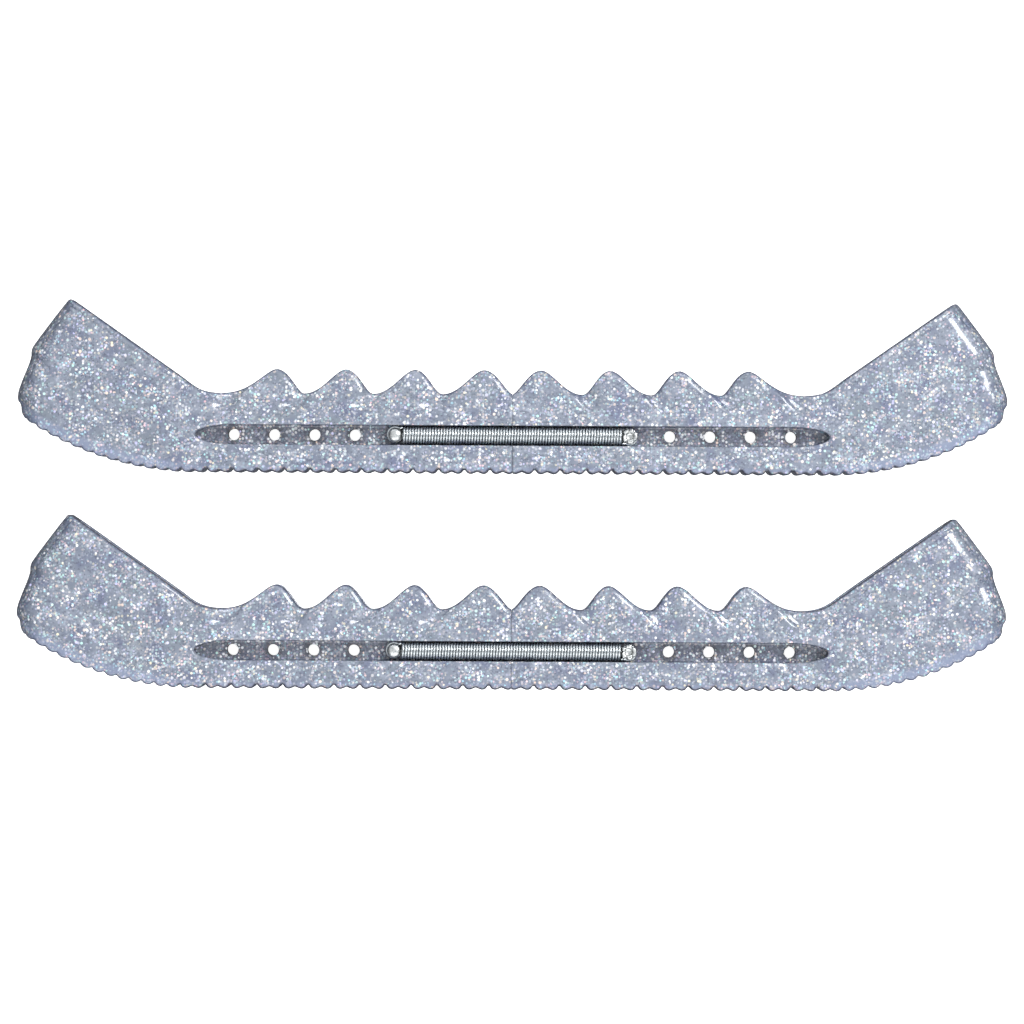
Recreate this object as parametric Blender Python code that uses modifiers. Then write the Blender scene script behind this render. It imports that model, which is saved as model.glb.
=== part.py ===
"""A pair of ice skate blade guards, lying on their sides as a pair is laid out on a table.

Each guard is two identical plastic mouldings that butt together in the middle. The second moulding is
the first one turned half a turn about the guard's upright axis. Two extension springs, one in a channel
on each side, pull the mouldings together, and each spring hooks on two rivets that pass through both.

Sizes are in millimetres. In a guard's own frame X runs along the blade, Y from the tread to the rim and
Z across the blade, with the origin on the tread at the joint between the mouldings.
"""

import math

import bmesh
import bpy
from mathutils import Vector
from mathutils.geometry import interpolate_bezier

MM = 0.001

# The sole: flat from the joint outwards, then an arc that rises to the nose.
SOLE_FLAT = 99.6
SOLE_ARC_RADIUS = 95.0
SOLE_ARC_DEGREES = 34.4
JOINT_GAP = 0.3

# The tread: small lobes, with every second notch deeper, fading towards the nose.
FIRST_NOTCH = 3.0
LOBE_PITCH = 4.05
NOTCH_SHALLOW = 0.75
NOTCH_DEEP = 1.6
LOBE_SHOULDER = 0.3
NOTCH_FADE = 0.6

# The waved rim above the springs, and the flank that climbs to the top corner.
VALLEY_HEIGHT = 25.0
PEAK_HEIGHT = 32.6
WAVE_PITCH = 21.7
FIRST_PEAK = 9.4
PEAK_TO_VALLEY = 12.1
LAST_PEAK_TO_PLATEAU = 16.8
PLATEAU_TO_FLANK = 13.7
FLANK_AFTER_SOLE = 5.4
FLANK_RISE = 5.7
FLANK_DEGREES = 35.0
TOP_HEIGHT = 54.8
CORNER_CUT = 1.3

# The nose, as steps from the end of the sole's arc: the corner, the bumper, and the lip on the shoulder.
NOSE_CORNER = ((1.1, 1.8), (1.3, 4.6))
NOSE_BUMPER = ((2.3, 5.6), (2.4, 7.8), (1.5, 10.8), (-1.9, 19.0))
NOSE_LIP = ((-1.8, 21.6), (-2.9, 23.6))

# The section across the blade.
WEB = 5.6
SLOT_WIDTH = 5.2
SLOT_FLOOR_OVER_CHANNEL = 0.9
RIM_TAPER = 2.0
SOLE_BAND = 3.0
END_WALL = 4.2
END_ROUNDING = 7.0
END_FLAT_SHARE = 0.4

# The shallow crease across each side, from the tread up to the lip.
CREASE_DEPTH = 1.5
CREASE_REACH = 4.0
CREASE_FOOT = 4.5
CREASE_SLOPE = 0.77
CREASE_FADE = 10.0

# The springs, with their channels.
WIRE = 0.85
SPRING_DIAMETER = 5.4
SPRING_CLEARANCE = 0.3
SPRING_COVER = 0.5
CHANNEL_SIDE_CLEARANCE = 0.4
CHANNEL_CENTRE = 12.0
CHANNEL_POINT = 11.8

# The rivets, and the row of holes that they can move to.
RIVET_X = 36.8
RIVET_SHANK = 3.2
HOLE_CLEARANCE = 0.2
HOLE_PITCH = 12.7
LOOP_CLEARANCE = 0.25
HEAD_OVERHANG = 0.5
HEAD_RISE = 1.1
TAIL_OVERHANG = 0.9
TAIL_THICKNESS = 0.8
TAIL_BORE = 1.0
TAIL_BORE_DEPTH = 2.2
SEAT_GAP = 0.15
COIL_END_GAP = 0.25

# The pair, laid out side by side.
PAIR_SPACING = 67.7

# How finely the shapes are cut.
CURVE_STEPS = 6
GRID_STEP = 9.0
END_SLICES = (1.5, 4.0, 7.0)
CREASE_SLICES = (-4.5, -2.2, 0.0, 2.2, 4.5)
HOLE_SIDES = 16
COIL_SIDES = 16
RIVET_SIDES = 16
LOOP_SIDES = (16, 6)
OVERCUT = 3.0

# Sizes that follow from the others.
SPRING_RADIUS = SPRING_DIAMETER / 2
WIRE_RADIUS = WIRE / 2
SHANK_RADIUS = RIVET_SHANK / 2
HALF_WIDTH = WEB / 2 + SPRING_CLEARANCE + SPRING_DIAMETER + SPRING_COVER
SPRING_OFFSET = WEB / 2 + SPRING_CLEARANCE + SPRING_RADIUS
LOOP_RADIUS = SHANK_RADIUS + LOOP_CLEARANCE + WIRE_RADIUS
CHANNEL_HALF_HEIGHT = max(SPRING_RADIUS, LOOP_RADIUS + WIRE_RADIUS) + CHANNEL_SIDE_CLEARANCE
SOLE_ARC_LENGTH = SOLE_ARC_RADIUS * math.radians(SOLE_ARC_DEGREES)
CHANNEL_END = SOLE_FLAT
SLOT_FLOOR = CHANNEL_CENTRE + CHANNEL_HALF_HEIGHT + SLOT_FLOOR_OVER_CHANNEL
FLANK_SLOPE = math.tan(math.radians(FLANK_DEGREES))
FLANK_FOOT = (SOLE_FLAT + FLANK_AFTER_SOLE, VALLEY_HEIGHT + FLANK_RISE)
TOP_CORNER = (FLANK_FOOT[0] + (TOP_HEIGHT - FLANK_FOOT[1]) / FLANK_SLOPE, TOP_HEIGHT)
COIL_END = RIVET_X - SHANK_RADIUS - TAIL_OVERHANG - COIL_END_GAP
SEAT = SPRING_OFFSET + WIRE_RADIUS + SEAT_GAP


def clear_scene():
    for obj in list(bpy.data.objects):
        bpy.data.objects.remove(obj, do_unlink=True)


def new_collection(name):
    collection = bpy.data.collections.new(name)
    bpy.context.scene.collection.children.link(collection)
    return collection


def principled(name, color, roughness, metallic=0.0):
    material = bpy.data.materials.new(name)
    material.use_nodes = True
    material.diffuse_color = (*color, 1.0)
    shader = material.node_tree.nodes["Principled BSDF"]
    shader.inputs["Base Color"].default_value = (*color, 1.0)
    shader.inputs["Roughness"].default_value = roughness
    shader.inputs["Metallic"].default_value = metallic
    return material


# ---- the outline of a moulding ------------------------------------------------------------------


def sole_point(along, lift):
    """A point of the sole line at that distance from the joint, lifted towards the inside."""
    if along <= SOLE_FLAT:
        return along, lift
    angle = (along - SOLE_FLAT) / SOLE_ARC_RADIUS
    radius = SOLE_ARC_RADIUS - lift
    return SOLE_FLAT + radius * math.sin(angle), SOLE_ARC_RADIUS - radius * math.cos(angle)


def sole_depth(x, y):
    """How far a point lies above the sole line."""
    if x <= SOLE_FLAT:
        return y
    return SOLE_ARC_RADIUS - math.hypot(x - SOLE_FLAT, SOLE_ARC_RADIUS - y)


def tread_points():
    """The lobes, from the joint to the end of the sole's arc."""
    start = JOINT_GAP / 2
    length = SOLE_FLAT + SOLE_ARC_LENGTH - FIRST_NOTCH
    lobes = max(2, round(length / LOBE_PITCH))
    pitch = length / lobes
    lobe_steps = ((0.25, LOBE_SHOULDER), (0.5, 0.0), (0.75, LOBE_SHOULDER))
    points = [(start, LOBE_SHOULDER), ((start + FIRST_NOTCH) / 2, 0.0)]
    points.append((FIRST_NOTCH - 0.25 * pitch, LOBE_SHOULDER))
    for lobe in range(lobes):
        notch = NOTCH_DEEP if lobe % 2 else NOTCH_SHALLOW
        for share, lift in ((0.0, notch), *lobe_steps):
            along = FIRST_NOTCH + (lobe + share) * pitch
            fade = 1.0 - NOTCH_FADE * max(0.0, along - SOLE_FLAT) / SOLE_ARC_LENGTH
            points.append(sole_point(along, lift * fade))
    return points


def sole_end(step=(0.0, 0.0)):
    """The point one step from the end of the sole's arc."""
    end = sole_point(SOLE_FLAT + SOLE_ARC_LENGTH, 0.0)
    return end[0] + step[0], end[1] + step[1]


def nose_points():
    """From the end of the tread up over the bumper to the shoulder below the top corner."""
    return [sole_end()] + [sole_end(step) for step in NOSE_CORNER + NOSE_BUMPER + NOSE_LIP]


def corner_points():
    """The top corner, slightly blunted."""
    shoulder = Vector(nose_points()[-1])
    corner = Vector(TOP_CORNER)
    down = (shoulder - corner).normalized()
    back = Vector((-1.0, -FLANK_SLOPE)).normalized()
    return [
        tuple(corner + down * CORNER_CUT),
        tuple(corner + (down + back) * CORNER_CUT * 0.3),
        tuple(corner + back * CORNER_CUT),
    ]


def peak_positions():
    room = FLANK_FOOT[0] - LAST_PEAK_TO_PLATEAU - PLATEAU_TO_FLANK - FIRST_PEAK
    return [FIRST_PEAK + WAVE_PITCH * i for i in range(int(room / WAVE_PITCH + 0.02) + 1)]


def rim_knots():
    """(x, y, slope, handle towards the joint, handle towards the nose) along the rim, nose first."""
    last_valley = FLANK_FOOT[0] - PLATEAU_TO_FLANK
    knots = [(*FLANK_FOOT, FLANK_SLOPE, 5.0, 0.0), (last_valley, VALLEY_HEIGHT, 0.0, 9.5, 7.5)]
    for peak in reversed(peak_positions()):
        knots.append((peak, PEAK_HEIGHT, 0.0, 3.2, 3.6))
        valley = peak - (WAVE_PITCH - PEAK_TO_VALLEY)
        if valley > JOINT_GAP:
            knots.append((valley, VALLEY_HEIGHT, 0.0, 5.4, 3.0))
    knots.append((JOINT_GAP / 2, VALLEY_HEIGHT, 0.4, 0.0, 2.4))
    return knots


def rim_points():
    """The flank and the waves, from the top corner back to the joint."""
    points = []
    knots = rim_knots()
    for (x0, y0, slope0, back, _), (x1, y1, slope1, _, ahead) in zip(knots, knots[1:]):
        way0 = Vector((1.0, slope0)).normalized()
        way1 = Vector((1.0, slope1)).normalized()
        start = Vector((x0, y0))
        end = Vector((x1, y1))
        curve = interpolate_bezier(start, start - way0 * back, end + way1 * ahead, end, CURVE_STEPS)
        points += [tuple(p)[:2] for p in curve[:-1]]
    return points + [(knots[-1][0], knots[-1][1])]


def moulding_outline():
    return tread_points() + nose_points() + corner_points() + rim_points()


# ---- shapes ---------------------------------------------------------------------------------------


def as_mesh(obj, name, collection):
    """The evaluated object as a plain mesh object with its caps welded and its faces out."""
    graph = bpy.context.evaluated_depsgraph_get()
    mesh = bpy.data.meshes.new_from_object(obj.evaluated_get(graph))
    mesh.transform(obj.matrix_world)
    mesh.name = name
    work = bmesh.new()
    work.from_mesh(mesh)
    bmesh.ops.remove_doubles(work, verts=work.verts, dist=0.000001)
    bmesh.ops.recalc_face_normals(work, faces=work.faces)
    work.to_mesh(mesh)
    work.free()
    made = bpy.data.objects.new(name, mesh)
    collection.objects.link(made)
    bpy.data.objects.remove(obj, do_unlink=True)
    return made


def plate(name, points, low, high, collection):
    """A flat outline in X and Y, from Z low to Z high."""
    curve = bpy.data.curves.new(name + "_outline", "CURVE")
    curve.dimensions = "2D"
    curve.fill_mode = "BOTH"
    curve.extrude = (high - low) / 2 * MM
    spline = curve.splines.new("POLY")
    spline.points.add(len(points) - 1)
    for place, (x, y) in zip(spline.points, points):
        place.co = (x * MM, y * MM, 0.0, 1.0)
    spline.use_cyclic_u = True
    outline = bpy.data.objects.new(name + "_outline", curve)
    outline.location.z = (low + high) / 2 * MM
    collection.objects.link(outline)
    bpy.context.view_layer.update()
    return as_mesh(outline, name, collection)


def rod(name, radius, start, end, sides, collection):
    """A cylinder between two points."""
    start = Vector(start)
    way = Vector(end) - start
    work = bmesh.new()
    bmesh.ops.create_cone(
        work, cap_ends=True, segments=sides, radius1=radius * MM, radius2=radius * MM, depth=way.length * MM
    )
    mesh = bpy.data.meshes.new(name)
    work.to_mesh(mesh)
    work.free()
    obj = bpy.data.objects.new(name, mesh)
    obj.rotation_mode = "QUATERNION"
    obj.rotation_quaternion = Vector((0, 0, 1)).rotation_difference(way)
    obj.location = (start + way / 2) * MM
    collection.objects.link(obj)
    return obj


def turned(name, profile, sides, collection):
    """A shape turned about Z from (radius, height) points, top to bottom."""
    mesh = bpy.data.meshes.new(name + "_profile")
    edges = [(i, i + 1) for i in range(len(profile) - 1)]
    mesh.from_pydata([(r * MM, 0.0, z * MM) for r, z in profile], edges, [])
    obj = bpy.data.objects.new(name + "_profile", mesh)
    collection.objects.link(obj)
    screw = obj.modifiers.new("turn", "SCREW")
    screw.steps = sides
    screw.render_steps = sides
    screw.use_merge_vertices = True
    screw.merge_threshold = 0.00001
    bpy.context.view_layer.update()
    return as_mesh(obj, name, collection)


def boolean(obj, other, operation="DIFFERENCE"):
    """Cuts obj with other, or joins other to it. other becomes a hidden helper."""
    modifier = obj.modifiers.new(other.name, "BOOLEAN")
    modifier.operation = operation
    modifier.solver = "EXACT"
    modifier.object = other
    other.hide_render = True
    other.display_type = "WIRE"


def smooth(mesh):
    mesh.shade_smooth()
    mesh.set_sharp_from_angle(angle=math.radians(35))


# ---- a moulding -----------------------------------------------------------------------------------


def distance_to_end(x, y):
    """How far a point lies inside the end face, which runs from the top corner down over the nose."""
    chain = [Vector(TOP_CORNER)] + [Vector(p) for p in reversed(nose_points())]
    here = Vector((x, y))
    nearest = END_ROUNDING
    for first, second in zip(chain, chain[1:]):
        way = second - first
        share = max(0.0, min(1.0, (here - first).dot(way) / way.length_squared))
        nearest = min(nearest, (first + way * share - here).length)
    return nearest


def half_width(x, y):
    """Half the moulding's width across the blade at a point of its side."""
    above = max(0.0, sole_depth(x, y) - SOLE_BAND) / (VALLEY_HEIGHT - SOLE_BAND)
    central = max(0.0, min(1.0, (SOLE_FLAT + 10.0 - x) / 30.0))
    width = HALF_WIDTH - RIM_TAPER * above * central
    foot = SOLE_FLAT + CREASE_FOOT
    off_crease = (y - CREASE_SLOPE * (x - foot)) / math.hypot(1.0, CREASE_SLOPE) / CREASE_REACH
    fade = max(0.0, min(1.0, (x - foot) / CREASE_FADE))
    width -= CREASE_DEPTH * fade * math.exp(-off_crease * off_crease)
    short = 1.0 - distance_to_end(x, y) / END_ROUNDING
    return width * math.sqrt(1.0 - (1.0 - END_FLAT_SHARE**2) * short * short)


def end_faces():
    """The straight runs of the end face and the rising sole, each followed clockwise."""
    return (
        (TOP_CORNER, sole_end(NOSE_LIP[-1])),
        (sole_end(NOSE_BUMPER[-1]), sole_end(NOSE_BUMPER[1])),
        (sole_end(), sole_point(SOLE_FLAT + SOLE_ARC_LENGTH / 2, 0.0)),
    )


def slices():
    """Lines across the side, as (point, direction): a grid, then finer ones by the end and the crease."""
    along = Vector((1.0, 0.0))
    upright = Vector((0.0, 1.0))
    start = SOLE_FLAT - 2 * GRID_STEP
    columns = int((TOP_CORNER[0] - start) / GRID_STEP) + 3
    lines = [(upright * (SOLE_BAND + GRID_STEP * i), along) for i in range(int(TOP_HEIGHT / GRID_STEP))]
    lines += [(along * (start + GRID_STEP * i), upright) for i in range(columns)]
    for first, second in end_faces():
        way = (Vector(second) - Vector(first)).normalized()
        inwards = Vector((way.y, -way.x))
        lines += [(Vector(first) + inwards * step, way) for step in END_SLICES]
    way = Vector((1.0, CREASE_SLOPE)).normalized()
    upwards = Vector((-way.y, way.x))
    foot = Vector((SOLE_FLAT + CREASE_FOOT, 0.0))
    return lines + [(foot + upwards * step, way) for step in CREASE_SLICES]


def shape_sides(obj):
    """Slices the flat sides and moves the new points to the moulding's real width."""
    work = bmesh.new()
    work.from_mesh(obj.data)
    bmesh.ops.dissolve_limit(work, angle_limit=0.001, verts=work.verts, edges=work.edges)
    for point, way in slices():
        geometry = work.verts[:] + work.edges[:] + work.faces[:]
        spot = (point.x * MM, point.y * MM, 0.0)
        across = (-way.y, way.x, 0.0)
        bmesh.ops.bisect_plane(work, geom=geometry, dist=0.0001, plane_co=spot, plane_no=across)
    bmesh.ops.triangulate(work, faces=work.faces)
    for vert in work.verts:
        vert.co.z = math.copysign(half_width(vert.co.x / MM, vert.co.y / MM) * MM, vert.co.z)
    work.to_mesh(obj.data)
    work.free()


def slot_outline():
    """The blade's slot: level through the middle, then rising to an end wall behind the nose."""
    shoulder = Vector(nose_points()[-1])
    corner = Vector(TOP_CORNER)
    down = (shoulder - corner).normalized()
    inwards = Vector((down.y, -down.x))
    foot = shoulder + inwards * END_WALL
    head = corner + inwards * END_WALL - down * OVERCUT * 2
    flank_x, flank_y = FLANK_FOOT
    return [
        (-OVERCUT, SLOT_FLOOR),
        (flank_x - 6.0, SLOT_FLOOR),
        (flank_x + 8.0, SLOT_FLOOR + 2.4),
        (flank_x + 22.0, flank_y - 6.5),
        (foot.x - 3.0, foot.y - 1.5),
        (foot.x, foot.y + 1.0),
        (head.x, head.y),
        (-OVERCUT, head.y),
    ]


def channel_outline():
    """A spring channel: parallel sides from the joint, closing to a point short of the nose."""
    start = CHANNEL_END - CHANNEL_POINT
    taper = ((0.0, 1.0), (0.5, 0.78), (0.88, 0.36), (1.0, 0.0))
    lower = [(start + CHANNEL_POINT * a, CHANNEL_CENTRE - CHANNEL_HALF_HEIGHT * h) for a, h in taper]
    upper = [(x, 2 * CHANNEL_CENTRE - y) for x, y in reversed(lower[:-1])]
    left = [(-OVERCUT, upper[-1][1]), (-OVERCUT, lower[0][1])]
    return lower + upper + left


def hole_positions():
    room = CHANNEL_END - CHANNEL_POINT - RIVET_X
    return [RIVET_X + HOLE_PITCH * i for i in range(int(room / HOLE_PITCH + 0.05) + 1)]


def moulding(cutters):
    """One half of a guard, on the +X side of the joint."""
    body = plate("moulding", moulding_outline(), -HALF_WIDTH, HALF_WIDTH, cutters)
    shape_sides(body)
    slot = plate("slot_cutter", slot_outline(), -SLOT_WIDTH / 2, SLOT_WIDTH / 2, cutters)
    boolean(body, slot)
    outside = HALF_WIDTH + OVERCUT
    for side, low, high in (("outer", WEB / 2, outside), ("inner", -outside, -WEB / 2)):
        boolean(body, plate(f"{side}_channel_cutter", channel_outline(), low, high, cutters))
    radius = SHANK_RADIUS + HOLE_CLEARANCE
    for number, x in enumerate(hole_positions()):
        ends = [(x, CHANNEL_CENTRE, z) for z in (-HALF_WIDTH, HALF_WIDTH)]
        boolean(body, rod(f"hole_cutter_{number}", radius, *ends, HOLE_SIDES, cutters))
    bpy.context.view_layer.update()
    return as_mesh(body, "moulding", cutters)


# ---- a rivet and a spring -------------------------------------------------------------------------


def rivet(cutters):
    """Domed head up and flared, hollow tail down, centred on the moulding's middle plane."""
    head = SHANK_RADIUS + HEAD_OVERHANG
    tail = SHANK_RADIUS + TAIL_OVERHANG
    bottom = -SEAT - TAIL_THICKNESS
    profile = [
        (0.0, SEAT + HEAD_RISE),
        (head * 0.45, SEAT + HEAD_RISE * 0.9),
        (head * 0.82, SEAT + HEAD_RISE * 0.55),
        (head, SEAT + HEAD_RISE * 0.15),
        (head, SEAT),
        (SHANK_RADIUS, SEAT),
        (SHANK_RADIUS, -SEAT),
        (tail, -SEAT),
        (tail, -SEAT - TAIL_THICKNESS * 0.4),
        (tail * 0.8, bottom),
        (TAIL_BORE * 1.2, bottom),
        (TAIL_BORE, bottom + TAIL_THICKNESS * 0.4),
        (TAIL_BORE, bottom + TAIL_BORE_DEPTH),
        (0.0, bottom + TAIL_BORE_DEPTH),
    ]
    return turned("rivet", profile, RIVET_SIDES, cutters)


def loop_ring(name, x, cutters):
    """The round hook at one end of a spring, lying in the spring's own plane."""
    sides, wire_sides = LOOP_SIDES
    bpy.ops.mesh.primitive_torus_add(
        major_segments=sides,
        minor_segments=wire_sides,
        major_radius=LOOP_RADIUS * MM,
        minor_radius=WIRE_RADIUS * MM,
        location=(x * MM, 0.0, 0.0),
    )
    ring = bpy.context.object
    ring.name = name
    for collection in list(ring.users_collection):
        collection.objects.unlink(ring)
    cutters.objects.link(ring)
    return ring


def spring(cutters):
    """The closed coil as a tube of its outer and inner size, with a bent neck and a loop at each end."""
    inner = SPRING_RADIUS - WIRE
    reach = inner + WIRE_RADIUS
    past = COIL_END + OVERCUT
    coil = rod("spring", SPRING_RADIUS, (-COIL_END, 0, 0), (COIL_END, 0, 0), COIL_SIDES, cutters)
    boolean(coil, rod("coil_bore", inner, (-past, 0, 0), (past, 0, 0), COIL_SIDES, cutters))
    for end, side in (("heel", -1), ("toe", 1)):
        neck_x = side * (COIL_END - WIRE_RADIUS)
        loop_x = side * (RIVET_X - LOOP_RADIUS + WIRE_RADIUS * 0.3)
        across = ((neck_x, -reach, 0), (neck_x, reach, 0))
        outwards = ((neck_x, 0, 0), (loop_x, 0, 0))
        neck = rod(f"{end}_neck", WIRE_RADIUS, *across, LOOP_SIDES[1], cutters)
        throat = rod(f"{end}_throat", WIRE_RADIUS * 0.9, *outwards, LOOP_SIDES[1], cutters)
        for piece in (neck, throat, loop_ring(f"{end}_loop", side * RIVET_X, cutters)):
            boolean(coil, piece, "UNION")
    bpy.context.view_layer.update()
    return as_mesh(coil, "spring", cutters)


# ---- the pair -------------------------------------------------------------------------------------


def place(name, source, material, parent, location, turned_round, collection):
    """A named piece that shares the source's mesh, turned half a turn about the guard's upright axis."""
    obj = bpy.data.objects.new(name, source.data)
    if not source.data.materials:
        source.data.materials.append(material)
    obj.rotation_euler.y = math.pi if turned_round else 0.0
    obj.location = [v * MM for v in location]
    obj.parent = parent
    collection.objects.link(obj)


def guard(name, y, sources, materials, collection):
    """One guard: two mouldings, two springs and two rivets under an empty on its tread line."""
    base = bpy.data.objects.new(f"{name}_guard", None)
    base.location = (0.0, y * MM, HALF_WIDTH * MM)
    collection.objects.link(base)
    half, pin, coil = sources
    plastic, steel, wire = materials
    at_joint = (0.0, 0.0, 0.0)
    place(f"{name}_toe_half", half, plastic, base, at_joint, False, collection)
    place(f"{name}_heel_half", half, plastic, base, at_joint, True, collection)
    place(f"{name}_heel_rivet", pin, steel, base, (-RIVET_X, CHANNEL_CENTRE, 0.0), False, collection)
    place(f"{name}_toe_rivet", pin, steel, base, (RIVET_X, CHANNEL_CENTRE, 0.0), True, collection)
    place(f"{name}_outer_spring", coil, wire, base, (0.0, CHANNEL_CENTRE, SPRING_OFFSET), False, collection)
    place(f"{name}_inner_spring", coil, wire, base, (0.0, CHANNEL_CENTRE, -SPRING_OFFSET), True, collection)


def main():
    clear_scene()
    pair = new_collection("skate_blade_guards")
    cutters = new_collection("cutters")
    sources = (moulding(cutters), rivet(cutters), spring(cutters))
    for source in sources:
        source.hide_render = True
        source.display_type = "WIRE"
        smooth(source.data)
    materials = (
        principled("glitter_plastic", (0.40, 0.44, 0.53), 0.25),
        principled("plated_steel", (0.62, 0.64, 0.66), 0.25, 1.0),
        principled("spring_wire", (0.50, 0.53, 0.55), 0.3, 1.0),
    )
    height = TOP_HEIGHT - CORNER_CUT * 0.1
    guard("left", (PAIR_SPACING - height) / 2, sources, materials, pair)
    guard("right", (-PAIR_SPACING - height) / 2, sources, materials, pair)
    bpy.context.view_layer.update()


main()
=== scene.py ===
import math

import bmesh
import bpy
import numpy as np
from mathutils import Matrix, Vector, kdtree
from mathutils.geometry import interpolate_bezier


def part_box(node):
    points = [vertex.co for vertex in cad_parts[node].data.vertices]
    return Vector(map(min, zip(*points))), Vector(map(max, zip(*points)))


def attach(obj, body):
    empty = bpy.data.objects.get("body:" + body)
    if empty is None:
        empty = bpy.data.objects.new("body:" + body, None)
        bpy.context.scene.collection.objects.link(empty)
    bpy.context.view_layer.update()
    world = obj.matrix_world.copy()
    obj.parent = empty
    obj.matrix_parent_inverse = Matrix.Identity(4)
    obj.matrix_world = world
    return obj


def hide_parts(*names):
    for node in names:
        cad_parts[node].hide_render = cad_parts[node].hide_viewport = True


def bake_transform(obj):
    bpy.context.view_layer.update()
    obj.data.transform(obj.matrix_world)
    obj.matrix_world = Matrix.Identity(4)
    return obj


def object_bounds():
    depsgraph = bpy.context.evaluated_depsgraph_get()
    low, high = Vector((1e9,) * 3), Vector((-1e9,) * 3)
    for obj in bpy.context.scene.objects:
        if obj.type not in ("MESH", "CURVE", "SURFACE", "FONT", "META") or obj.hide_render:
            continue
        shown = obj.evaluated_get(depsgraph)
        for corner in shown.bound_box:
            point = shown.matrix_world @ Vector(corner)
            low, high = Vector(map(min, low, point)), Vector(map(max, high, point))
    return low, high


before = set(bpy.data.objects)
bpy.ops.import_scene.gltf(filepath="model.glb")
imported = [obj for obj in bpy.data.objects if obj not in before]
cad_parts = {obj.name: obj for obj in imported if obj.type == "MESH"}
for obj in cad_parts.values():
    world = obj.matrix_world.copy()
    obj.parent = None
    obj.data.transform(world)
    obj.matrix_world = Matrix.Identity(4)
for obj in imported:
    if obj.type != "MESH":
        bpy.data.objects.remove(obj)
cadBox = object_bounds()
mm = 0.001      # Blender's metres in one of the part's millimetres
guardNames = ("left", "right")
halfNames = ("heel", "toe")


# A guard's own frame: x along the blade from the joint, y up from the tread, z across the blade.
def guardBase(name):
    low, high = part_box(f"{name}_toe_half")
    return Vector((0.0, low.y, (low.z + high.z) / 2))


def newObject(name, data):
    obj = bpy.data.objects.new(name, data)
    bpy.context.scene.collection.objects.link(obj)
    return obj


def newMesh(name, points, faces, material):
    mesh = bpy.data.meshes.new(name)
    mesh.from_pydata([tuple(p) for p in points], [], faces)
    mesh.update()
    mesh.shade_smooth()
    mesh.materials.append(material)
    return newObject(name, mesh)


def evaluatedMesh(obj, name):
    # the mesh with its modifiers applied
    bpy.context.view_layer.update()
    graph = bpy.context.evaluated_depsgraph_get()
    mesh = bpy.data.meshes.new_from_object(obj.evaluated_get(graph))
    mesh.name = name
    return mesh


def dropObject(obj):
    data = obj.data
    bpy.data.objects.remove(obj, do_unlink=True)
    if data.users == 0:
        bpy.data.meshes.remove(data)


def meshNumbers(mesh, name):
    # one row of three numbers for each point: its place ("co") or its normal
    values = np.empty(len(mesh.vertices) * 3)
    mesh.vertices.foreach_get(name, values)
    return values.reshape(-1, 3)


# These three work on a material or on the world.
def addNode(material, kind, **settings):
    node = material.node_tree.nodes.new(kind)
    for key, value in settings.items():
        setattr(node, key, value)
    return node


def join(material, fromSocket, toSocket):
    material.node_tree.links.new(fromSocket, toSocket)


def setInputs(node, **values):
    # a name such as fromMin stands for the socket "From Min"
    for key, value in values.items():
        words = "".join(" " + letter if letter.isupper() else letter for letter in key)
        node.inputs[words[:1].upper() + words[1:]].default_value = value


def newMaterial(name):
    material = bpy.data.materials.new(name)
    material.use_nodes = True
    material.node_tree.nodes.clear()
    out = addNode(material, "ShaderNodeOutputMaterial")
    shader = addNode(material, "ShaderNodeBsdfPrincipled")
    join(material, shader.outputs["BSDF"], out.inputs["Surface"])
    return material, shader


def objectCoords(material, scale, shift):
    coords = addNode(material, "ShaderNodeTexCoord")
    mapping = addNode(material, "ShaderNodeMapping")
    setInputs(mapping, scale=(scale, scale, scale), location=shift)
    join(material, coords.outputs["Object"], mapping.inputs["Vector"])
    return mapping.outputs["Vector"]


def mathNode(material, operation, first, second=None, third=None):
    node = addNode(material, "ShaderNodeMath", operation=operation)
    for socket, value in zip(node.inputs, (first, second, third)):
        if value is None:
            continue
        if isinstance(value, (int, float)):
            socket.default_value = value
        else:
            join(material, value, socket)
    return node.outputs[0]


def mixColor(material, factor, first, second, blend="MIX"):
    node = addNode(material, "ShaderNodeMix", data_type="RGBA", blend_type=blend)
    colors = [socket for socket in node.inputs if socket.type == "RGBA"]
    for socket, value in zip([node.inputs[0]] + colors, (factor, first, second)):
        if isinstance(value, (int, float)):
            socket.default_value = value
        elif isinstance(value, tuple):
            socket.default_value = (*value, 1.0)
        else:
            join(material, value, socket)
    return node.outputs[2]


def ramp(material, factor, stops, interpolation="LINEAR"):
    node = addNode(material, "ShaderNodeValToRGB")
    node.color_ramp.interpolation = interpolation
    for element, (place, color) in zip(node.color_ramp.elements, stops[:2]):
        element.position = place
        element.color = (*color, 1.0)
    for place, color in stops[2:]:
        node.color_ramp.elements.new(place).color = (*color, 1.0)
    join(material, factor, node.inputs["Fac"])
    return node.outputs["Color"]


def rising(material, value, low, high):
    # 0 at low, 1 at high
    node = addNode(material, "ShaderNodeMapRange", interpolation_type="LINEAR")
    setInputs(node, fromMin=low, fromMax=high)
    join(material, value, node.inputs["Value"])
    return node.outputs["Result"]


def product(material, first, *others):
    for other in others:
        first = mathNode(material, "MULTIPLY", first, other)
    return first


def clouds(material, size, shift=(0.0, 0.0, 0.0), detail=2.0):
    noise = addNode(material, "ShaderNodeTexNoise", noise_dimensions="3D")
    setInputs(noise, scale=1.0, detail=detail)
    join(material, objectCoords(material, 1.0 / (size * mm), shift), noise.inputs["Vector"])
    return noise.outputs["Fac"]


def pointValue(material, name):
    node = addNode(material, "ShaderNodeAttribute", attribute_type="GEOMETRY", attribute_name=name)
    return node.outputs["Fac"]


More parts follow.
